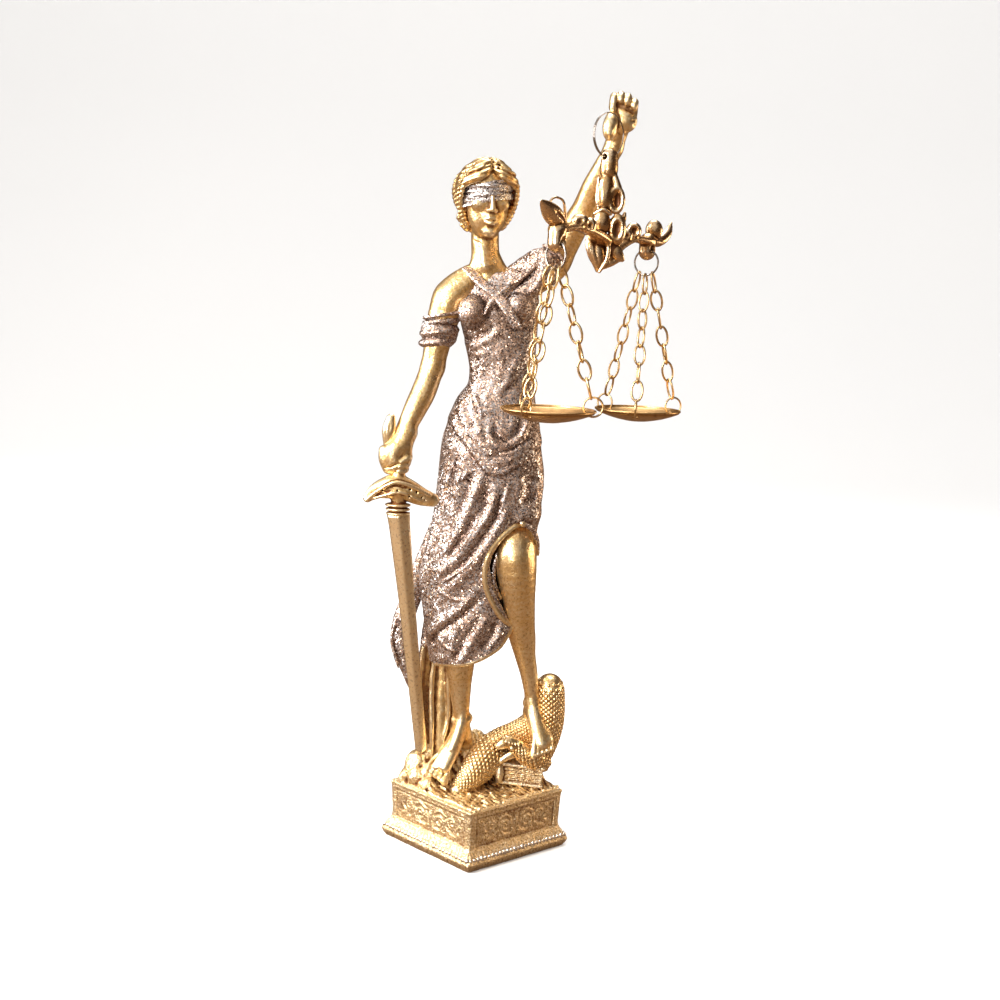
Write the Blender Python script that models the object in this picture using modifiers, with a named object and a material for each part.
"""Lady justice statuette: a cast figure on a square plinth, with a hanging balance of metal.

Metres, +Z up. The origin is the middle of the plinth's underside and the figure faces -Y.
The figure is modelled as clay: rounded masses blended on a grid and then skinned.
"""

from math import atan2, cos, pi, radians, sin, sqrt

import bmesh
import bpy
import numpy as np
import openvdb
from mathutils import Matrix, Vector

MM = 0.001
CLEARANCE = 0.0003

# Cast statue
FIGURE_HEIGHT = 0.295
PLINTH_TOP_SIDE = 0.0512
PLINTH_FOOT_SIDE = 0.0572
PLINTH_HEIGHT = 0.025
PLINTH_FOOT_HEIGHT = 0.0042
PLINTH_PANEL_HEIGHT = 0.0125
PANEL_DEPTH = 0.0009
PANEL_MARGIN = 0.0042
RELIEF = 0.0007
RELIEF_RISE = 0.00013

# Hanging balance
HOLE_SPACING = 0.0862
HOLE_RADIUS = 0.00115
LUG_HEIGHT = 0.0341
BEAM_TURN = radians(61.7)
BEAM_SHIFT = 0.0008
HAND_RING_RADIUS = 0.0086
HAND_RING_WIRE = 0.0009
HAND_RING_TURN = radians(44)
BEAM_RING_RADIUS = 0.0053
BEAM_RING_WIRE = 0.0008
BEAM_RING_TURNS = {"left": radians(-49), "right": radians(-28)}
CHAIN_SPREAD = radians(34)
PAN_RING_RADIUS = 0.0037
PAN_RING_WIRE = 0.0008
PAN_RING_INSET = 0.0013
PAN_RING_RISE = 0.0015
PAN_RADIUS = 0.0183
PAN_DEPTH = 0.0042
PAN_WALL = 0.0008
PAN_HOLE_RADIUS = 0.0014
PAN_HOLE_INSET = 0.0032
PAN_DROPS = {"left": 0.0627, "right": 0.0673}
PAN_TURNS = {"left": 0.0, "right": radians(22)}
LINKS = 7
LINK_WIDTH = 0.0054
LINK_WIRE = 0.00085
LINK_BITE = 0.00025

# Landmarks below are written for a figure this tall, in millimetres above the plinth's top.
DRAWN_HEIGHT = 295.0
SCALE = FIGURE_HEIGHT / DRAWN_HEIGHT
CLAY_STEP = 0.8
BEAM_CLAY_STEP = 0.55
STATUE_TRIANGLES = 3500
BEAM_TRIANGLES = 620
RING_STEPS = 12
HAND_RING_STEPS = 18
SCROLL_STEPS = 8
LINK_STEPS = 6
WIRE_SIDES = 4
PAN_STEPS = 16
PAN_PROFILE_STEPS = 4
SINK = 3.0
ROCK_INSET = 1.2

GOLD = ((0.83, 0.58, 0.24, 1.0), 0.38, 0.75)
BRASS = ((0.72, 0.52, 0.25, 1.0), 0.3, 1.0)
STEEL = ((0.62, 0.6, 0.58, 1.0), 0.25, 1.0)


def smooth_path(points, steps=6):
    """A smooth curve through the points, with everything that each point carries."""
    rows = np.array(points, float)
    before = np.vstack([2 * rows[0] - rows[1], rows, 2 * rows[-1] - rows[-2]])
    out = []
    for i in range(len(rows) - 1):
        a, b, c, d = before[i : i + 4]
        for t in np.linspace(0, 1, steps, endpoint=False):
            out.append(
                0.5 * (2 * b + (c - a) * t + (2 * a - 5 * b + 4 * c - d) * t**2)
                + 0.5 * (3 * b - a - 3 * c + d) * t**3
            )
    out.append(rows[-1])
    return np.array(out)


def soft_min(first, second, soft):
    if soft <= 0:
        return np.minimum(first, second)
    share = np.clip(0.5 + 0.5 * (second - first) / soft, 0, 1)
    return second * (1 - share) + first * share - soft * share * (1 - share)


def frame_of(turn=0.0, tilt=0.0, lean=0.0):
    """A turning about Z, then about the turned X, then about the turned Y."""
    spin = Matrix.Rotation(turn, 3, "Z") @ Matrix.Rotation(tilt, 3, "X") @ Matrix.Rotation(lean, 3, "Y")
    return np.array(spin)


class Clay:
    """Signed distance in millimetres on a grid, negative inside."""

    FAR = 9.0

    def __init__(self, low, high, step):
        self.low = np.array(low, float)
        self.step = step
        self.count = np.ceil((np.array(high) - self.low) / step).astype(int) + 1
        self.field = np.full(self.count, self.FAR, np.float32)

    def window(self, low, high):
        first = np.clip(np.floor((np.array(low) - self.low) / self.step).astype(int), 0, self.count)
        last = np.clip(np.ceil((np.array(high) - self.low) / self.step).astype(int) + 1, 0, self.count)
        place = tuple(slice(a, b) for a, b in zip(first, last))
        axes = [self.low[i] + self.step * np.arange(first[i], last[i]) for i in range(3)]
        x, y, z = axes[0][:, None, None], axes[1][None, :, None], axes[2][None, None, :]
        return place, (x, y, z)

    def beside(self, low, high):
        """Empty clay over part of this grid."""
        place, axes = self.window(low, high)
        other = Clay([axis.flat[0] for axis in axes], [axis.flat[0] for axis in axes], self.step)
        other.count = np.array([axis.size for axis in axes])
        other.field = np.full(other.count, self.FAR, np.float32)
        other.place = place
        return other

    def lay(self, other, soft):
        """Joins clay that was made beside this."""
        self.join(other.place, other.field, soft)

    def join(self, place, distance, soft):
        self.field[place] = soft_min(self.field[place], distance.astype(np.float32), soft)

    def carve(self, place, distance, soft):
        self.field[place] = -soft_min(-self.field[place], distance.astype(np.float32), soft)

    def limb(self, points, soft=1.0, flat=None, steps=5, cut=False):
        """A tube through (x, y, z, radius) points; flat is ((x, y, z), share) across it."""
        path = smooth_path(points, steps) if len(points) > 2 else np.array(points, float)
        reach = path[:, 3].max() + soft + 2.5 * self.step
        place, (x, y, z) = self.window(path[:, :3].min(0) - reach, path[:, :3].max(0) + reach)
        best = None
        for (ax, ay, az, ra), (bx, by, bz, rb) in zip(path[:-1], path[1:]):
            dx, dy, dz = bx - ax, by - ay, bz - az
            length = dx * dx + dy * dy + dz * dz + 1e-9
            t = np.clip(((x - ax) * dx + (y - ay) * dy + (z - az) * dz) / length, 0, 1)
            qx, qy, qz = x - ax - t * dx, y - ay - t * dy, z - az - t * dz
            square = qx * qx + qy * qy + qz * qz
            if flat:
                (ux, uy, uz), share = flat
                across = qx * ux + qy * uy + qz * uz
                square = square + across * across * (1 / share**2 - 1)
            one = np.sqrt(square) - (ra + t * (rb - ra))
            best = one if best is None else np.minimum(best, one)
        (self.carve if cut else self.join)(place, best, soft)

    def egg(self, centre, radii, soft=1.0, turn=None, cut=False):
        """An ellipsoid, turned by a matrix."""
        reach = max(radii) + soft + 2.5 * self.step
        middle = np.array(centre, float)
        place, (x, y, z) = self.window(middle - reach, middle + reach)
        px, py, pz = x - middle[0], y - middle[1], z - middle[2]
        if turn is not None:
            px, py, pz = (px * turn[0, i] + py * turn[1, i] + pz * turn[2, i] for i in range(3))
        a, b, c = radii
        near = np.sqrt((px / a) ** 2 + (py / b) ** 2 + (pz / c) ** 2)
        slope = np.sqrt((px / a**2) ** 2 + (py / b**2) ** 2 + (pz / c**2) ** 2) + 1e-6
        (self.carve if cut else self.join)(place, near * (near - 1) / slope, soft)

    def skin(self):
        """Points in millimetres and faces of the surface, its largest body only."""
        grid = openvdb.FloatGrid()
        grid.background = self.FAR
        grid.copyFromArray(np.ascontiguousarray(self.field))
        points, triangles, quads = grid.convertToPolygons(isovalue=0.0, adaptivity=0.0)
        faces = [tuple(int(i) for i in face) for face in np.vstack([quads])]
        faces += [tuple(int(i) for i in face) for face in triangles]
        return np.array(points) * self.step + self.low, faces


def new_object(name, mesh, material, collection):
    item = bpy.data.objects.new(name, mesh)
    collection.objects.link(item)
    if material:
        mesh.materials.clear()
        mesh.materials.append(material)
    return item


def mesh_from(name, points, faces):
    mesh = bpy.data.meshes.new(name)
    mesh.from_pydata([tuple(p) for p in points], [], faces)
    shape = bmesh.new()
    shape.from_mesh(mesh)
    keep_largest(shape)
    bmesh.ops.recalc_face_normals(shape, faces=shape.faces)
    shape.to_mesh(mesh)
    shape.free()
    return mesh


def keep_largest(shape):
    """Only the biggest connected body stays."""
    left = set(shape.verts)
    best = set()
    while left:
        start = next(iter(left))
        body, edge = {start}, [start]
        while edge:
            vert = edge.pop()
            for link in vert.link_edges:
                other = link.other_vert(vert)
                if other not in body:
                    body.add(other)
                    edge.append(other)
        left -= body
        if len(body) > len(best):
            best = body
    bmesh.ops.delete(shape, geom=[v for v in shape.verts if v not in best], context="VERTS")


def finish_material(name, look):
    colour, roughness, metallic = look
    material = bpy.data.materials.new(name)
    material.use_nodes = True
    shader = material.node_tree.nodes["Principled BSDF"]
    shader.inputs["Base Color"].default_value = colour
    shader.inputs["Roughness"].default_value = roughness
    shader.inputs["Metallic"].default_value = metallic
    material.diffuse_color = colour
    return material


# The gown's sections: height, middle across, middle in depth, half width, half depth.
GOWN_SECTIONS = (
    (224, 3.0, 2.0, 9.0, 5.5),
    (218, 1.5, 1.8, 13.5, 7.4),
    (211, 0.3, 1.4, 16.4, 8.8),
    (200, 0.6, 1.2, 16.2, 9.4),
    (188, 2.2, 1.0, 14.4, 8.8),
    (175, 3.4, 1.0, 13.4, 8.5),
    (163, 2.0, 1.0, 16.6, 10.2),
    (150, -0.2, 0.8, 21.0, 12.0),
    (135, 0.6, 0.5, 22.6, 12.8),
    (120, -0.8, 0.2, 22.6, 12.8),
    (105, -3.4, 0.2, 23.2, 12.6),
    (92, -4.6, 0.5, 24.0, 12.4),
    (78, -4.6, 0.5, 22.4, 12.2),
    (66, -4.4, 0.5, 20.6, 12.0),
    (50, -4.0, 0.5, 18.0, 11.5),
)
# Where the hem runs, seen from the front: across, height.
HEM = ((-30, 55), (-20, 53.5), (-6, 56), (3, 60), (10, 65), (13, 72), (22, 84))
# The slit over the left leg, seen from the front.
SLIT = (
    (14, 118.5), (7, 115), (2.3, 109), (0, 102), (-1, 94), (-0.6, 88), (1.8, 82.5), (5.5, 77),
    (9.5, 72.5), (13, 66), (34, 60), (34, 104), (22.3, 106), (21, 112), (18, 117),
)
SLIT_DEPTH = 3.0
# Raised and sunk folds, seen from the front: (width, height), then across and height of each point.
FOLDS = (
    ((2.0, 1.3), (-6.2, 130), (-11, 118), (-16, 106)),
    ((2.2, 1.5), (2, 126), (-4, 112), (-10, 99), (-19, 88)),
    ((2.0, 1.1), (8, 122), (2, 108), (-5, 92), (-12, 76)),
    ((1.6, -1.2), (-1, 86), (-8, 80), (-19, 75), (-25, 66)),
    ((1.8, 1.2), (-3, 84), (-6, 72), (-9, 60)),
    ((1.8, 1.2), (5, 76), (0, 66), (-7, 58)),
    ((1.6, -1.1), (-18, 150), (-17, 138), (-20, 122)),
    ((2.0, 1.2), (-14, 146), (-13, 134), (-16, 120)),
    ((2.6, -2.0), (18, 138), (19, 128), (17, 121)),
    ((1.8, 1.2), (13, 139), (14, 130), (10, 120)),
    ((1.3, -1.0), (-14.5, 203), (-8, 199.5), (-1, 203), (4, 209)),
    ((1.3, -0.9), (2, 203), (9, 201), (16, 206)),
    ((1.5, 1.0), (-6, 194), (-4.5, 184), (-5.5, 172)),
    ((1.5, 0.9), (3, 192), (5, 180), (4, 168)),
    ((1.4, 1.0), (-8, 164), (-8.5, 158), (-3, 155), (1, 160)),
    ((1.5, 1.0), (-17, 157), (-8, 150), (2, 146), (14, 150)),
    ((1.5, 0.9), (-12, 165), (-11, 156), (-8, 146)),
)
SWAG = ((-20, 158), (-16, 150), (-10.8, 142.5), (-6, 138.5), (-0.5, 136.2), (6.3, 138), (13.5, 143),
        (20.5, 148.5))
SWAG_LIFT = 0.9


def outline_distance(x, z, corners):
    """Signed distance to a closed outline in the XZ plane, negative inside."""
    best, inside = None, None
    for (ax, az), (bx, bz) in zip(corners, corners[1:] + corners[:1]):
        dx, dz = bx - ax, bz - az
        t = np.clip(((x - ax) * dx + (z - az) * dz) / (dx * dx + dz * dz), 0, 1)
        square = (x - ax - t * dx) ** 2 + (z - az - t * dz) ** 2
        crossing = ((az > z) != (bz > z)) & (x < dx * (z - az) / (dz if dz else 1e-9) + ax)
        best = square if best is None else np.minimum(best, square)
        inside = crossing if inside is None else inside ^ crossing
    return np.where(inside, -1.0, 1.0) * np.sqrt(best)


def ridge_map(x, z, ridges):
    """Height of the folds over the XZ plane; each fades at its two ends."""
    total = 0.0
    for (width, height), *points in ridges:
        path = smooth_path(points, 5)
        best, share = None, None
        count = len(path) - 1
        for i, ((ax, az), (bx, bz)) in enumerate(zip(path[:-1], path[1:])):
            dx, dz = bx - ax, bz - az
            t = np.clip(((x - ax) * dx + (z - az) * dz) / (dx * dx + dz * dz + 1e-9), 0, 1)
            square = (x - ax - t * dx) ** 2 + (z - az - t * dz) ** 2
            along = (i + t) / count
            if best is None:
                best, share = square, along
            else:
                share = np.where(square < best, along, share)
                best = np.minimum(best, square)
        fade = np.clip(6 * np.minimum(share, 1 - share) + 0.25, 0, 1)
        total = total + height * fade * np.exp(-best / width**2)
    return total


class Gown:
    """The gown as a stack of ellipses, with its folds."""

    def __init__(self):
        rows = np.array(GOWN_SECTIONS, float)[::-1]
        fine = smooth_path(rows, 6)
        order = np.argsort(fine[:, 0])
        self.rows = fine[order]

    def section(self, z):
        return [np.interp(z, self.rows[:, 0], self.rows[:, i]) for i in range(1, 5)]

    def front(self, x, z, lift=0.0):
        """Depth of the gown's front at a place seen from the front."""
        middle, deep, wide, half = self.section(z)
        inside = np.clip(1 - ((x - middle) / wide) ** 2, 0.02, 1)
        return deep - half * np.sqrt(inside) - lift

    def on_front(self, points, lift=0.0, radius=1.0):
        return [(x, float(self.front(x, z, lift)), z, radius) for x, z in points]

    def distance(self, x, y, z):
        middle, deep, wide, half = self.section(z)
        px, py = x - middle, y - deep
        near = np.sqrt((px / wide) ** 2 + (py / half) ** 2)
        slope = np.sqrt((px / wide**2) ** 2 + (py / half**2) ** 2) + 1e-6
        cloth = near * (near - 1) / slope
        flat_x, flat_z = x[:, :, 0], z[0]
        folds = ridge_map(flat_x, flat_z, FOLDS)
        swag = np.interp(flat_x, *np.array(SWAG).T) - flat_z
        folds = folds + SWAG_LIFT * np.clip(0.5 - swag / 1.6, 0, 1) * (flat_z < 165)
        ahead = np.clip(0.5 - py / 6, 0, 1)
        pleats = 0.8 * np.sin(x * 0.62 + 0.02 * z) * np.clip((170 - z) / 40, 0, 1)
        return cloth - folds[:, None, :] * ahead - pleats * (1 - ahead)


def sculpt_gown(statue, gown):
    """The gown alone, with its slit cut, laid over the statue."""
    clay = statue.beside((-34, -20, 46), (31, 21, 228))
    place, (x, y, z) = clay.window((-33, -18, 48), (30, 20, 226))
    cloth = gown.distance(x, y, z)
    hem = np.interp(x, *np.array(HEM).T)
    cloth = -soft_min(-cloth, -(hem - z), 1.2)
    cloth = -soft_min(-cloth, -(z - 222), 2.0)
    clay.join(place, cloth, 1.0)
    clay.egg((-10.5, -6.5, 206.5), (6.3, 6.2, 6.6), 2.2)
    clay.egg((9.0, -6.2, 210.5), (6.3, 6.2, 6.6), 2.2)
    slot = outline_distance(x, z, list(SLIT))
    clay.carve(place, np.maximum(slot, y - SLIT_DEPTH), 0.6)
    edge = [(20, 112), (17, 117), (14, 118.3), (7, 115), (2.3, 109), (0, 102), (-1, 94), (-0.6, 88),
            (1.8, 82.5), (5.5, 77), (9.5, 72.5)]
    clay.limb(gown.on_front(edge, -0.3, 1.1), 0.8)
    clay.limb(gown.on_front(SWAG, 0.5, 1.0), 0.8)
    statue.lay(clay, 1.0)


def sculpt_upper_cloth(clay, gown):
    """The strap across the chest, the cloth over the left shoulder and the sleeve band."""
    clay.limb([(-11, -2, 224, 1.6), (-5, -7.5, 216, 1.7), (1, -10, 211, 1.7), (7, -11.5, 204, 1.4)], 1.0)
    clay.limb([(4, -6, 222, 1.4), (0, -9, 215, 1.5), (-5, -10.5, 209, 1.3)], 1.0)
    clay.limb([(4, 1, 219, 5.0), (11, 0, 220.5, 5.4), (19, -1, 223, 6.2)], 3.0)
    clay.limb([(8, -6, 211, 4.5), (13, -4, 217, 4.2), (19, -3, 223, 4.2)], 2.5)
    clay.limb([(17.5, -1, 223, 6.0), (22.5, -1.5, 226, 6.4), (25.5, -2.5, 229, 6.0)], 2.0)
    clay.limb([(16, -7, 233, 1.2), (18.5, -8.3, 228, 1.4), (18.5, -8.2, 222, 1.2)], 1.0)
    clay.limb([(22, -7.5, 236, 1.2), (23.5, -9, 230, 1.4), (22.5, -9, 223, 1.2)], 1.0)
    for rise in (-4.6, 0.0, 4.4):
        across = 7.6 if rise else 7.3
        middle = (-24.2 + 0.16 * rise, 0.4, 196.2 + rise)
        clay.egg(middle, (across, across * 0.92, 3.4), 0.6, frame_of(lean=radians(-8)))


def sculpt_arms(clay):
    clay.limb([(-12, 2, 218, 6.5), (-19.5, 1, 211, 7.4), (-22.6, 0.6, 203, 6.4)], 3.0)
    clay.limb([(-20.5, 1, 210, 6.6), (-24.2, 0.4, 196, 5.9), (-26.4, 0, 181, 4.9)], 2.0)
    clay.limb([(-26.4, 0, 181, 4.9), (-30.2, -3, 170, 5.2), (-35.6, -6, 157, 4.3), (-39, -8, 149, 3.6)], 2.0)
    clay.limb([(12, 1, 217, 6.0), (21.9, 0, 225, 6.2), (28, -4, 239, 5.6), (34.8, -8, 252, 4.9)], 2.0)
    clay.limb([(34.8, -8, 252, 4.9), (38, -12, 260.5, 4.7), (43.2, -18, 273, 3.7)], 2.0)


def sculpt_grip(clay):
    """The right hand closed round the hilt, with the pommel above it."""
    clay.limb([(-39, -8, 149, 3.7), (-40, -8.5, 143, 4.6), (-39.5, -9, 137, 4.2)], 2.0)
    for i in range(4):
        z = 145.6 - 3.4 * i
        clay.limb(
            [(-35.6, -10.5, z + 1.4, 1.7), (-38.5, -14.0, z + 0.8, 1.9), (-43.0, -13.0, z, 1.9),
             (-44.2, -9.0, z - 0.4, 1.7)],
            0.7,
        )
    clay.limb([(-38.5, -9.5, 148, 2.0), (-42.6, -10.5, 149.5, 1.9), (-44.0, -11.5, 145.5, 1.7)], 0.8)
    clay.limb([(-42.6, -8.4, 148, 1.9), (-43.8, -8.2, 154, 2.4), (-44.8, -8, 159.5, 1.6)], 0.8)


def sculpt_fist(clay):
    """The raised left hand: closed fingers above, the thumb hooked down in front."""
    clay.limb([(43.2, -18, 273, 3.7), (44.4, -19.4, 279, 4.3), (45.6, -20.6, 286, 5.0)], 2.0)
    turn = frame_of(turn=radians(8), lean=radians(14))
    clay.egg((45.9, -20.8, 286.8), (5.3, 4.2, 5.6), 1.2, turn)
    for i in range(4):
        x = 41.4 + 2.75 * i
        top = 293.4 - 0.42 * (i - 1.2) ** 2
        clay.limb(
            [(x, -18.6, top - 3.4, 1.75), (x + 0.2, -20.6, top, 1.8), (x + 0.1, -24.6, top - 0.6, 1.75),
             (x, -25.2, top - 3.9, 1.6), (x - 0.2, -23.0, top - 5.2, 1.4)],
            0.5,
        )
    clay.limb([(42.0, -20.5, 285, 2.2), (39.6, -24.6, 284.2, 1.9), (38.6, -27.2, 280.5, 1.8),
               (38.9, -27.4, 276.4, 1.5)], 0.8)


HEAD_TURN = radians(14)
HEAD_PLACE = (-7.2, 0.0, 252.3)


def head_point(x, y, z, *more):
    """A place on the head, given across, in depth and up from its middle."""
    c, s = cos(HEAD_TURN), sin(HEAD_TURN)
    return (HEAD_PLACE[0] + c * x - s * y, HEAD_PLACE[1] + s * x + c * y, HEAD_PLACE[2] + z, *more)


def sculpt_head(clay):
    turn = frame_of(turn=HEAD_TURN)
    clay.limb([(-4.6, 2.4, 218, 8.6), (-5.6, 2.0, 224, 6.4), (-6.6, 1.6, 238, 5.9)], 2.5)
    clay.egg(head_point(0, 1.0, 3.8), (10.4, 12.2, 11.4), 1.0, turn)
    clay.egg(head_point(0, -3.2, -4.2), (8.5, 8.6, 12.4), 1.5, turn)
    clay.egg(head_point(0, -4.6, -10.2), (6.0, 5.8, 5.6), 2.0, turn)
    clay.egg(head_point(0, -8.2, -14.0), (2.7, 2.4, 2.2), 1.5)
    clay.limb([head_point(0, -11.2, 1.2, 0.8), head_point(0, -13.4, -4.6, 1.1)], 1.2)
    for side in (-1, 1):
        clay.egg(head_point(1.2 * side, -11.9, -4.8), (1.0, 1.0, 0.9), 0.7)
        clay.egg(head_point(4.6 * side, -9.3, -5.2), (3.0, 2.2, 2.8), 1.6, turn)
        lips = [(2.6, -11.0, -8.9, 0.45), (1.1, -12.0, -8.3, 0.7), (0, -12.1, -8.6, 0.6)]
        clay.limb([head_point(x * side, y, z, r) for x, y, z, r in lips], 0.5)
    clay.limb([head_point(-1.7, -11.4, -10.0, 0.6), head_point(1.7, -11.4, -10.0, 0.6)], 0.6)
    clay.egg(head_point(0, 0.6, 2.4), (11.2, 13.0, 3.8), 0.6, turn)


def sculpt_hair(clay):
    turn = frame_of(turn=HEAD_TURN)
    clay.egg(head_point(0, 2.6, 5.6), (12.2, 12.8, 11.6), 1.0, turn)
    clay.egg(head_point(0, 7.0, -1.0), (10.8, 8.2, 10.5), 2.0, turn)
    for side in (-1, 1):
        for lift, deep in ((0.0, 0.0), (2.6, 1.6), (4.6, 4.4)):
            lock = [
                (0.8, -9.6 + deep, 10.6 + lift * 0.6, 1.3),
                (4.6, -10.2 + deep, 9.2 + lift * 0.8, 1.7),
                (8.6, -7.4 + deep, 6.4 + lift, 1.9),
                (11.2, -3.6 + deep, 1.6 + lift, 1.8),
                (11.6, -0.6 + deep, -3.4 + lift, 1.7),
            ]
            clay.limb([head_point(x * side, y, z, r) for x, y, z, r in lock], 0.7)
        for x, y, z, r in ((9.8, -1.0, -7.0, 2.2), (9.4, 2.0, -10.0, 2.2), (7.6, 5.0, -12.4, 2.2)):
            clay.egg(head_point(x * side, y, z), (r, r, r * 1.2), 0.8)


def sculpt_legs(clay):
    clay.limb([(13, 0, 126, 9.3), (12.6, -4, 112, 9.0), (13, -6, 98, 8.0), (14.6, -4, 83, 6.7),
               (16.6, -1, 68, 5.5), (20.2, 2, 52, 3.9), (22.7, 3, 38.5, 3.0)], 1.5)
    clay.limb([(22.6, 3, 39, 3.1), (22.4, 5.6, 32.5, 3.4)], 1.5)
    clay.limb([(22.8, 2.6, 37, 3.2), (24.2, -0.4, 28.4, 3.7), (25.9, -3.8, 21.8, 3.2)], 1.5)
    for i in range(5):
        x, y, z = 23.6 + 1.85 * i, -7.4 + 0.5 * i, 16.8 + 0.75 * i
        size = 1.65 - 0.13 * i
        clay.limb([(x - 0.2, y + 3.0, z + 3.2, size), (x, y, z, size)], 0.5)
    clay.limb([(-7.5, -1, 84, 7.4), (-9.3, -2.5, 66, 6.1), (-9.5, -1.5, 54, 5.9), (-8.8, -1, 42, 4.6),
               (-7.7, -1, 30, 3.3), (-6.6, 0, 22, 3.4)], 1.5)
    clay.limb([(-7.6, -1.4, 28, 3.2), (-10.8, -6.4, 18, 3.8), (-14.6, -10.0, 9.6, 3.4)], 1.5)
    clay.limb([(-8.8, -1.6, 24, 3.0), (-14.0, -5.6, 16, 3.0), (-18.2, -8.4, 10.4, 2.4)], 1.5)
    clay.limb([(-6.8, 0.4, 24, 3.0), (-5.4, 2.2, 17.5, 3.2)], 1.5)
    for i in range(5):
        x, y, z = -13.9 - 1.75 * i, -13.2 + 1.1 * i, 4.9 + 0.8 * i
        size = 1.75 - 0.14 * i
        clay.limb([(x + 0.8, y + 2.6, z + 3.0, size), (x, y, z, size)], 0.5)


BLADE_TOP = (-37.9, -10.9, 125)
BLADE_TIP = (-24.4, -3.0, 14.0)


def sculpt_guard(clay):
    left, right = (-52.6, -12.0, 126.0), (-23.4, -9.0, 126.0)
    clay.limb([(-38.4, -10.5, 138.5, 2.6), (-38.4, -11, 131, 3.0), (-37.8, -10.8, 123, 2.9)], 1.0)
    clay.limb([(*left, 1.9), (-48.5, -12, 130, 2.7), (-38.4, -11, 132.4, 3.0), (-29.5, -10, 129.8, 2.6),
               (*right, 1.9)], 1.0, ((0, 1, 0), 1.25))
    for drop in (8.6, 11.2):
        clay.egg((-37.6, -10.8, 131.5 - drop), (5.0, 4.0, 1.3), 0.5)


# The train of cloth behind the sword, with folds that fall to the ground.
TRAIN = (
    ((-22, 4, 110, 3.5), (-31, 6, 84, 4.6), (-36.4, 6, 62, 4.6), (-31.0, 5, 42, 4.0), (-27, 3, 20, 4.4)),
    ((-17, 5, 100, 4.0), (-22, 6, 72, 4.2), (-24, 6, 44, 4.0), (-22.5, 3, 16, 4.6)),
    ((-12, 6, 90, 4.0), (-16.4, 5, 60, 3.6), (-17.2, 3, 36, 3.4), (-16.6, 1, 12, 4.0)),
    ((-8, 8, 80, 4.0), (-11, 7, 52, 3.6), (-11.4, 5, 28, 3.6), (-10.6, 4, 8, 4.0)),
)
SNAKE_BODY = (
    (-8.5, -13, 2.4, 2.2), (-3.6, -11.5, 4.2, 4.0), (0.6, -7, 9.5, 5.4), (4, 0, 17, 6.6),
    (9.5, 8, 21.5, 7.2), (17, 12, 26, 6.4), (22.6, 10, 38, 5.9), (27.2, 7, 46.5, 5.6),
    (30.6, 5, 41, 5.8), (30.6, 4, 28, 5.8), (27.0, 4, 15, 6.0), (21, 6, 6, 6.2),
)
SNAKE_NECK = ((27, 3, 11, 5.4), (25.5, -2, 13, 4.6), (20.6, -4.5, 15.5, 3.9), (16.4, -5.2, 19.0, 3.2))


def sculpt_snake(clay):
    clay.limb(SNAKE_BODY, 1.2, steps=5)
    clay.limb(SNAKE_NECK, 1.2)
    clay.limb([(17, -5.2, 19.4, 3.2), (12.6, -6.2, 21.6, 2.9), (8.9, -7.2, 19.6, 1.7)], 0.8)
    clay.limb([(16.4, -5.4, 17.0, 2.2), (12.2, -6.4, 14.8, 1.6), (9.4, -7.0, 12.8, 1.1)], 0.8)


def ground_height(x, y):
    """Rough rock over the plinth: a mound at the left, one under each foot, low in front."""
    mounds = (
        (-25.0, 1.5, 8.4, 8.5, 18.0), (-31.0, -1.5, 3.6, 4.2, 7.0), (-6.0, 4.0, 8.0, 8.0, 14.0),
        (-16.0, 7.0, 10.0, 9.0, 12.0), (8.0, 10.0, 10.0, 8.0, 13.0), (-1.0, 6.5, 6.0, 6.0, 12.0),
        (20.0, 6.5, 8.0, 6.0, 9.0), (25.0, 5.0, 5.5, 4.5, 10.0), (0.0, 22.0, 12.0, 9.0, 7.0),
        (-14.0, -8.0, 4.5, 4.5, 3.0),
    )
    height = 0.7 + 0.35 * np.sin(1.1 * x + 0.4 * y) * np.sin(0.9 * y - 0.3 * x)
    for mx, my, wide, deep, tall in mounds:
        height = height + tall * np.exp(-(((x - mx) / wide) ** 2) - ((y - my) / deep) ** 2)
    return height


def sculpt_ground(clay, reach):
    """Rock inside the plinth's top, which reaches this far to each corner."""
    place, (x, y, z) = clay.window((-reach, -reach, -SINK), (reach, reach, 30))
    edge = (np.abs(x) + np.abs(y) - reach) / sqrt(2)
    rock = 0.6 * (z - ground_height(x, y))
    clay.join(place, np.maximum(np.maximum(rock, edge), -SINK - z), 1.5)


def sculpt_statue():
    reach = PLINTH_TOP_SIDE / sqrt(2) / SCALE - ROCK_INSET
    clay = Clay((-56, -39, -SINK - 1.6), (56, 39, DRAWN_HEIGHT + 2.4), CLAY_STEP)
    gown = Gown()
    sculpt_ground(clay, reach)
    for fold in TRAIN:
        clay.limb(fold, 2.0, ((0.2, 1, 0), 0.8))
    sculpt_snake(clay)
    sculpt_legs(clay)
    sculpt_gown(clay, gown)
    sculpt_arms(clay)
    sculpt_upper_cloth(clay, gown)
    sculpt_grip(clay)
    sculpt_fist(clay)
    sculpt_head(clay)
    sculpt_hair(clay)
    sculpt_guard(clay)
    points, faces = clay.skin()
    points = points * SCALE
    points[:, 2] += PLINTH_HEIGHT
    return mesh_from("statue", points, faces)


def add_modifier(item, kind, **settings):
    modifier = item.modifiers.new(kind.title(), kind)
    for key, value in settings.items():
        setattr(modifier, key, value)
    return modifier


def add_boolean(item, operation, other):
    add_modifier(item, "BOOLEAN", operation=operation, object=other, solver="EXACT")


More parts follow.
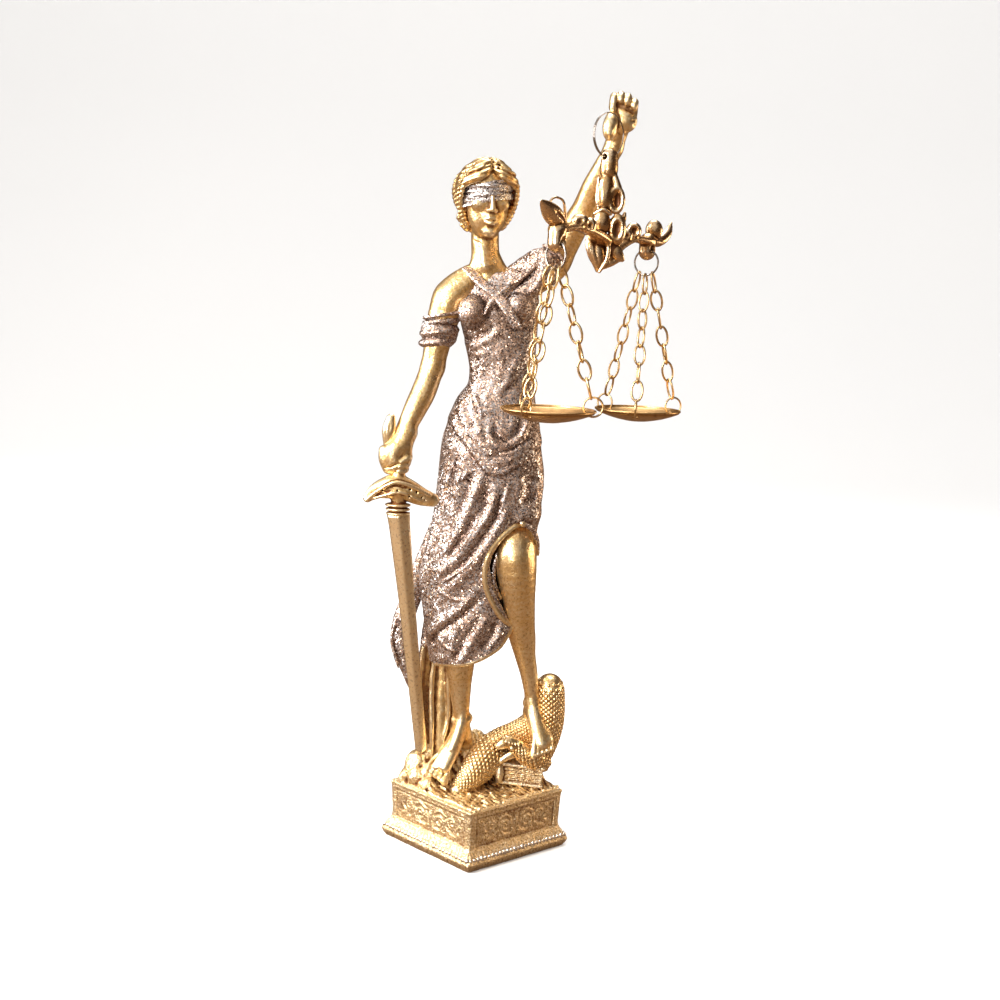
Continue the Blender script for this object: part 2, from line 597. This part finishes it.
def turned(name, profile, steps, material, collection):
    """A profile of (radius, height) points, top to bottom, turned about Z."""
    mesh = bpy.data.meshes.new(name)
    mesh.from_pydata([(r, 0, z) for r, z in profile], [(i, i + 1) for i in range(len(profile) - 1)], [])
    item = new_object(name, mesh, material, collection)
    add_modifier(item, "SCREW", axis="Z", angle=2 * pi, steps=steps, render_steps=steps,
                 use_merge_vertices=True, merge_threshold=1e-5, use_smooth_shade=False)
    return item


def block(name, size, place, turn, collection):
    bpy.ops.mesh.primitive_cube_add(size=1)
    item = bpy.context.object
    item.name = name
    item.data.transform(Matrix.Diagonal((*size, 1)))
    item.matrix_world = Matrix.Translation(place) @ turn.to_4x4()
    move_to(item, collection)
    return item


def move_to(item, collection):
    for other in list(item.users_collection):
        other.objects.unlink(item)
    collection.objects.link(item)


def baked(item):
    """The object's evaluated mesh, welded, in place of its modifiers or its curve."""
    graph = bpy.context.evaluated_depsgraph_get()
    graph.update()
    mesh = bpy.data.meshes.new_from_object(item.evaluated_get(graph))
    mesh.transform(item.matrix_world)
    shape = bmesh.new()
    shape.from_mesh(mesh)
    bmesh.ops.remove_doubles(shape, verts=shape.verts, dist=1e-6)
    shape.to_mesh(mesh)
    shape.free()
    name, collection = item.name, item.users_collection[0]
    hidden = item.hide_render
    bpy.data.objects.remove(item)
    fresh = new_object(name, mesh, None, collection)
    fresh.hide_render = hidden
    return fresh


def ring(name, centre, across, radius, wire, material, collection, segments=RING_STEPS, stretch=0.0,
         up=Vector((0, 0, 1))):
    """A wire ring in the plane of two directions; stretch parts its halves along up to make a link."""
    bpy.ops.mesh.primitive_torus_add(major_radius=radius, minor_radius=wire / 2,
                                     major_segments=segments, minor_segments=WIRE_SIDES)
    item = bpy.context.object
    item.name = name
    if stretch:
        half_step = pi / segments
        item.data.transform(Matrix.Rotation(half_step, 4, "Z"))
        item.data.transform(Matrix.Diagonal((1 / cos(half_step), 1, 1, 1)))
        for vert in item.data.vertices:
            vert.co.y += stretch / 2 if vert.co.y > 0 else -stretch / 2
    side = across.normalized()
    rise = (up - side * up.dot(side)).normalized()
    turn = Matrix((side, rise, side.cross(rise))).transposed()
    item.data.transform(Matrix.Translation(centre) @ turn.to_4x4())
    if material:
        item.data.materials.append(material)
    move_to(item, collection)
    return item


def flat_direction(angle):
    return Vector((cos(angle), sin(angle), 0))


def make_plinth(collection):
    corner = PLINTH_TOP_SIDE / sqrt(2)
    foot = PLINTH_FOOT_SIDE / sqrt(2)
    top, lip = PLINTH_HEIGHT, PLINTH_FOOT_HEIGHT
    neck = lip + 0.22 * (top - lip)
    profile = [
        (0, top), (corner - 0.0006, top), (corner, top - 0.0006), (corner - 0.0002, top - 0.0014),
        (corner - 0.0012, neck + 0.002), (corner - 0.0010, neck),
        (corner + 0.3 * (foot - corner), lip + 0.0022), (foot - 0.0014, lip + 0.0008),
        (foot - 0.0012, lip), (foot, lip - 0.001), (foot, 0.0010), (foot - 0.001, 0), (0, 0),
    ]
    plinth = turned("plinth", profile, 4, None, collection)
    middle = top - 0.0012 - (top - neck) / 2
    apothem = (corner - 0.0007) / sqrt(2)
    width = PLINTH_TOP_SIDE - 2 * PANEL_MARGIN
    for i in range(4):
        angle = radians(45 + 90 * i)
        out = flat_direction(angle)
        turn = Matrix.Rotation(angle, 3, "Z")
        depth = 4 * PANEL_DEPTH
        place = out * (apothem - PANEL_DEPTH + depth / 2) + Vector((0, 0, middle))
        panel = block(f"panel_{i}", (depth, width, PLINTH_PANEL_HEIGHT), place, turn, collection)
        add_boolean(plinth, "DIFFERENCE", panel)
    for i in range(4):
        angle = radians(45 + 90 * i)
        floor = flat_direction(angle) * (apothem - PANEL_DEPTH + RELIEF_RISE) + Vector((0, 0, middle))
        for piece in panel_relief(f"relief_{i}", floor, flat_direction(angle + pi / 2), width, collection):
            add_boolean(plinth, "UNION", piece)
    return baked(plinth)


def panel_relief(name, floor, along, width, collection):
    """A bud between two scroll rings and two leaves, half sunk in a panel's floor."""
    height = PLINTH_PANEL_HEIGHT
    rise = Vector((0, 0, 1))
    turn = Matrix((along, rise, along.cross(rise))).transposed()
    pieces = [stud(f"{name}_bud", floor, turn, (0.16 * height, 0.3 * height, PANEL_DEPTH), collection)]
    for side in (-1, 1):
        centre = floor + along * (side * 0.2 * width)
        pieces.append(ring(f"{name}_ring_{side}", centre, along, 0.28 * height, 2 * RELIEF, None, collection,
                           segments=SCROLL_STEPS))
        leaf = floor + along * (side * 0.37 * width)
        lean = Matrix.Rotation(radians(28 * side), 3, "Z")
        radii = (0.2 * height, 0.32 * height, PANEL_DEPTH)
        pieces.append(stud(f"{name}_leaf_{side}", leaf, turn @ lean, radii, collection))
    return pieces


def stud(name, place, turn, radii, collection):
    """A few-sided egg, its third axis out of the panel."""
    bpy.ops.mesh.primitive_uv_sphere_add(segments=6, ring_count=4, radius=1)
    item = bpy.context.object
    item.name = name
    item.data.transform(Matrix.Translation(place) @ turn.to_4x4() @ Matrix.Diagonal((*radii, 1)))
    move_to(item, collection)
    return item


def drawn(x, y, z):
    """A landmark in metres, from millimetres above the plinth on the drawn figure."""
    return Vector((x * SCALE, y * SCALE, z * SCALE + PLINTH_HEIGHT))


def make_blade(collection):
    start, end = drawn(*BLADE_TOP), drawn(*BLADE_TIP)
    shape = bmesh.new()
    bmesh.ops.create_cone(shape, cap_ends=True, segments=4, radius1=2.7 * SCALE, radius2=4.7 * SCALE,
                          depth=(start - end).length)
    mesh = bpy.data.meshes.new("blade")
    shape.to_mesh(mesh)
    shape.free()
    rise = (start - end).normalized()
    side = Vector((1, 0, 0))
    side = (side - rise * side.dot(rise)).normalized()
    turn = Matrix((side, rise.cross(side), rise)).transposed().to_4x4()
    mesh.transform(Matrix.Translation((start + end) / 2) @ turn @ Matrix.Diagonal((1, 0.45, 1, 1)))
    return new_object("blade", mesh, None, collection)


def make_book(collection):
    middle = drawn(19.0, 1.9, 5.7)
    turn = Matrix.Rotation(radians(-1.4), 3, "Z") @ Matrix.Rotation(radians(4.3), 3, "Y")
    book = block("book", Vector((19.0, 12.6, 6.4)) * SCALE, middle, turn, collection)
    for side in (-1, 1):
        place = middle + turn @ Vector((0, 0, 3.6 * side)) * SCALE
        board = block(f"board_{side}", Vector((20.4, 14.2, 1.3)) * SCALE, place, turn, collection)
        add_boolean(book, "UNION", board)
    bpy.ops.mesh.primitive_cylinder_add(vertices=12, radius=4.2 * SCALE, depth=14.0 * SCALE)
    spine = bpy.context.object
    spine.name = "spine"
    spine.data.transform(Matrix.Rotation(pi / 2, 4, "X"))
    spine.data.transform(Matrix.Diagonal((0.55, 1, 1, 1)))
    spine.matrix_world = Matrix.Translation(middle + turn @ Vector((-9.6, 0, 0)) * SCALE) @ turn.to_4x4()
    move_to(spine, collection)
    add_boolean(book, "UNION", spine)
    return baked(book)


def thinned(item, triangles):
    """Fewer triangles over the same form."""
    shape = bmesh.new()
    shape.from_mesh(item.data)
    bmesh.ops.triangulate(shape, faces=shape.faces)
    count = len(shape.faces)
    shape.to_mesh(item.data)
    shape.free()
    add_modifier(item, "SMOOTH", factor=0.5, iterations=1)
    add_modifier(item, "DECIMATE", ratio=min(1.0, triangles / count), use_collapse_triangulate=True)
    return baked(item)


def make_statue(material, collection, cutters):
    figure = new_object("figure", sculpt_statue(), None, cutters)
    figure = thinned(figure, STATUE_TRIANGLES)
    statue = make_plinth(cutters)
    for piece in (figure, make_blade(cutters), make_book(cutters)):
        piece.hide_render = True
        piece.display_type = "WIRE"
        add_boolean(statue, "UNION", piece)
    statue = baked(statue)
    statue.name = statue.data.name = "statue"
    statue.data.materials.append(material)
    move_to(statue, collection)
    return statue


class Balance:
    """Where the beam, its rings, the chains and the pans hang, worked out from the hand ring."""

    def __init__(self):
        self.hand = drawn(40.2, -31.0, 276.7)
        foot = self.hand - Vector((0, 0, HAND_RING_RADIUS))
        self.middle = foot + Vector((BEAM_SHIFT, BEAM_SHIFT, -LUG_HEIGHT))
        self.place = Matrix.Translation(self.middle) @ Matrix.Rotation(BEAM_TURN, 4, "Z")

    def hole(self, side):
        return self.middle + flat_direction(BEAM_TURN) * (side * HOLE_SPACING / 2)

    def wire_path(self, centre, turn, radius, half):
        """Part of a ring that passes through the beam, as a path for its hole in the beam's millimetres."""
        points = []
        for i in range(-3, 4):
            angle = radians(22 * i)
            rise = Vector((0, 0, half * radius * cos(angle)))
            spot = centre + flat_direction(turn) * radius * sin(angle) + rise
            points.append((*(self.place.inverted() @ spot / MM), HOLE_RADIUS / MM))
        return points


def sculpt_beam(balance):
    """The beam: across is along the arms, depth is its thickness, height is from the end holes."""
    half = HOLE_SPACING / 2 / MM
    lug = LUG_HEIGHT / MM
    clay = Clay((-half - 16, -9, -13), (half + 16, 9, lug + 6), BEAM_CLAY_STEP)
    clay.limb([(0, 0, lug - 0.4, 3.1), (0, 0, lug - 6.5, 3.4), (0, 0, lug - 9.5, 2.5)], 1.0)
    clay.egg((0, 0, 17.0), (5.2, 4.0, 6.6), 1.5)
    clay.limb([(0, 0, 27, 2.4), (0, 0, 8, 2.4)], 1.5)
    clay.egg((0, 0, 2.4), (5.2, 4.6, 7.4), 1.5)
    clay.limb([(0, 0, 0, 4.4), (0, -1.0, -6, 3.6), (0, -1.6, -10.6, 0.9)], 2.0)
    for side in (-1, 1):
        curl = [(side * 2, -1, -1, 2.0), (side * 5.6, -2.6, -3.6, 1.8), (side * 6.6, -2.4, -7.5, 0.8)]
        clay.limb(curl, 1.0)
        clay.limb([(side * 3, 0, 5, 1.6), (side * 6.4, -1.4, 9.4, 1.4), (side * 8.6, 0.6, 8.0, 1.2)], 0.8)
        arm = [
            (side * 2, 0, -2.5, 2.8), (side * 10, 0, 2.0, 2.1), (side * 20, 0, 5.6, 1.8),
            (side * 30, 0, 4.4, 1.8), (side * (half - 4), 0, 3.2, 2.0), (side * (half + 3), 0, 4.4, 2.2),
        ]
        clay.limb(arm, 1.0, ((0, 1, 0), 1.5))
        clay.limb([(side * 12, 0, 3.6, 1.3), (side * 17, 0, 9.4, 1.7), (side * 21.5, 0, 8.8, 1.0)], 0.8,
                  ((0, 1, 0), 1.7))
        for flare in (-1, 1):
            tip = 12 if side < 0 else 12 + 3 * flare
            leaf = [
                (side * (half + 2), 0.6 * flare, 4.2, 2.0),
                (side * (half + 0.6 * tip), 2.6 * flare, 7.6, 1.8),
                (side * (half + tip), 4.8 * flare, 12.6, 0.8),
            ]
            clay.limb(leaf, 1.0)
        clay.limb([(side * half, 0, 3.0, 3.2), (side * half, 0, -0.6, 3.3)], 1.0, ((0, 1, 0), 0.85))
        hole = balance.hole(side) - Vector((0, 0, BEAM_RING_RADIUS))
        turn = BEAM_RING_TURNS["left" if side < 0 else "right"]
        clay.limb(balance.wire_path(hole, turn, BEAM_RING_RADIUS, 1), 0.2, cut=True)
    clay.limb([(0, -6, 17.4, 1.7), (0, 6, 17.4, 1.7)], 0.4, ((0, 0, 1), 1.5), cut=True)
    clay.limb(balance.wire_path(balance.hand, HAND_RING_TURN, HAND_RING_RADIUS, -1), 0.2, cut=True)
    points, faces = clay.skin()
    mesh = mesh_from("balance_beam", points * MM, faces)
    mesh.transform(balance.place)
    return mesh


def make_beam(balance, material, collection):
    return finish_name(thinned(new_object("balance_beam", sculpt_beam(balance), None, collection),
                               BEAM_TRIANGLES), "balance_beam", material)


def finish_name(item, name, material):
    item.name = item.data.name = name
    item.data.materials.append(material)
    return item


def pan_profile():
    """Top to bottom down the outside of the pan, which is a shallow dish with a plain rim."""
    count = PAN_PROFILE_STEPS
    inner = [(PAN_RADIUS * i / count, -PAN_DEPTH * (1 - (i / count) ** 2)) for i in range(count + 1)]
    outer = [(r, z - PAN_WALL) for r, z in inner[::-1]]
    outer[0] = (PAN_RADIUS, -PAN_WALL * 0.8)
    return inner + outer


def make_pan(name, centre, angles, material, collection, cutters):
    pan = turned(name, pan_profile(), PAN_STEPS, None, collection)
    pan.location = centre
    for i, angle in enumerate(angles):
        place = centre + flat_direction(angle) * (PAN_RADIUS - PAN_HOLE_INSET)
        bpy.ops.mesh.primitive_cylinder_add(vertices=8, radius=PAN_HOLE_RADIUS, depth=4 * PAN_DEPTH,
                                            location=place)
        hole = bpy.context.object
        hole.name = f"{name}_hole_{i}"
        hole.hide_render = True
        hole.display_type = "WIRE"
        move_to(hole, cutters)
        add_boolean(pan, "DIFFERENCE", hole)
    return finish_name(baked(pan), name, material)


def make_chain(name, top, bottom, first_turn, last_turn, material, collection, cutters):
    """Oval links from one wire to another; the links turn evenly, a quarter turn apart."""
    run = bottom - top
    down = run.normalized()
    grip = (LINK_WIRE + HAND_RING_WIRE) / 2 + CLEARANCE
    start = top - down * grip
    end = bottom + down * grip
    overlap = LINK_WIRE - LINK_BITE
    length = ((end - start).length + overlap * (LINKS - 1)) / LINKS
    pitch = length - overlap
    flat = Vector((1, 0, 0))
    flat = (flat - down * flat.dot(down)).normalized()
    other = down.cross(flat)
    spare = (last_turn - first_turn - (LINKS - 1) * pi / 2 + pi / 2) % pi - pi / 2
    groups = []
    for i in range(LINKS):
        angle = first_turn + i * (pi / 2 + spare / (LINKS - 1))
        across = flat * cos(angle) + other * sin(angle)
        middle = start + down * (length / 2 + i * pitch)
        radius = (LINK_WIDTH - LINK_WIRE) / 2
        groups.append(ring(f"{name}_{i}", middle, across, radius, LINK_WIRE, material, cutters,
                           segments=LINK_STEPS, stretch=length - 2 * radius, up=-down))
    odd, even = joined(groups[0::2]), joined(groups[1::2])
    even.hide_render = True
    even.display_type = "WIRE"
    add_boolean(odd, "UNION", even)
    chain = baked(odd)
    move_to(chain, collection)
    return finish_name(chain, name, material)


def joined(items):
    """One object of several that don't touch."""
    shape = bmesh.new()
    for item in items:
        shape.from_mesh(item.data)
    first = items[0]
    shape.to_mesh(first.data)
    shape.free()
    for item in items[1:]:
        bpy.data.objects.remove(item)
    return first


def link_turn(normal, down):
    """The turn at which a link's plane faces a direction, so that a wire along it passes through."""
    flat = Vector((1, 0, 0))
    flat = (flat - down * flat.dot(down)).normalized()
    other = down.cross(flat)
    across = down.cross(normal).normalized()
    return atan2(across.dot(other), across.dot(flat))


def make_hanging(name, hole, materials, collection, cutters):
    """A beam ring, three chains, three pan rings and a pan, hung from an end hole."""
    brass, steel = materials
    across = flat_direction(BEAM_RING_TURNS[name])
    centre = hole - Vector((0, 0, BEAM_RING_RADIUS))
    ring(f"beam_ring_{name}", centre, across, BEAM_RING_RADIUS, BEAM_RING_WIRE, steel, collection)
    pan_centre = hole - Vector((0, 0, PAN_DROPS[name]))
    angles = [PAN_TURNS[name] + i * 2 * pi / 3 for i in range(3)]
    order = sorted(angles, key=lambda angle: flat_direction(angle).dot(across))
    for i, angle in enumerate(angles):
        out = flat_direction(angle)
        side = flat_direction(angle - pi / 2)
        pan_ring = pan_centre + out * (PAN_RADIUS - PAN_RING_INSET) + Vector((0, 0, PAN_RING_RISE))
        ring(f"pan_ring_{name}_{i + 1}", pan_ring, out, PAN_RING_RADIUS, PAN_RING_WIRE, brass, collection)
        slide = CHAIN_SPREAD * (order.index(angle) - 1)
        top = centre + (across * sin(slide) - Vector((0, 0, cos(slide)))) * BEAM_RING_RADIUS
        lean = top - pan_ring
        lean = (lean - side * lean.dot(side)).normalized()
        bottom = pan_ring + lean * PAN_RING_RADIUS
        down = (bottom - top).normalized()
        tangent = across * cos(slide) + Vector((0, 0, sin(slide)))
        wire = lean.cross(side)
        make_chain(f"chain_{name}_{i + 1}", top, bottom, link_turn(tangent, down), link_turn(wire, down),
                   brass, collection, cutters)
    make_pan(f"pan_{name}", pan_centre, angles, brass, collection, cutters)


def clear_scene():
    for item in list(bpy.data.objects):
        bpy.data.objects.remove(item)


def main():
    clear_scene()
    collection = bpy.data.collections.new("lady_justice_statuette")
    cutters = bpy.data.collections.new("cutters")
    for group in (collection, cutters):
        bpy.context.scene.collection.children.link(group)
    cutters.hide_render = True
    gold = finish_material("gold_paint", GOLD)
    brass = finish_material("brass", BRASS)
    steel = finish_material("steel_wire", STEEL)
    make_statue(gold, collection, cutters)
    balance = Balance()
    make_beam(balance, gold, collection)
    ring("hand_ring", balance.hand, flat_direction(HAND_RING_TURN), HAND_RING_RADIUS, HAND_RING_WIRE, steel,
         collection, segments=HAND_RING_STEPS)
    make_hanging("left", balance.hole(-1), (brass, steel), collection, cutters)
    make_hanging("right", balance.hole(1), (brass, steel), collection, cutters)


main()
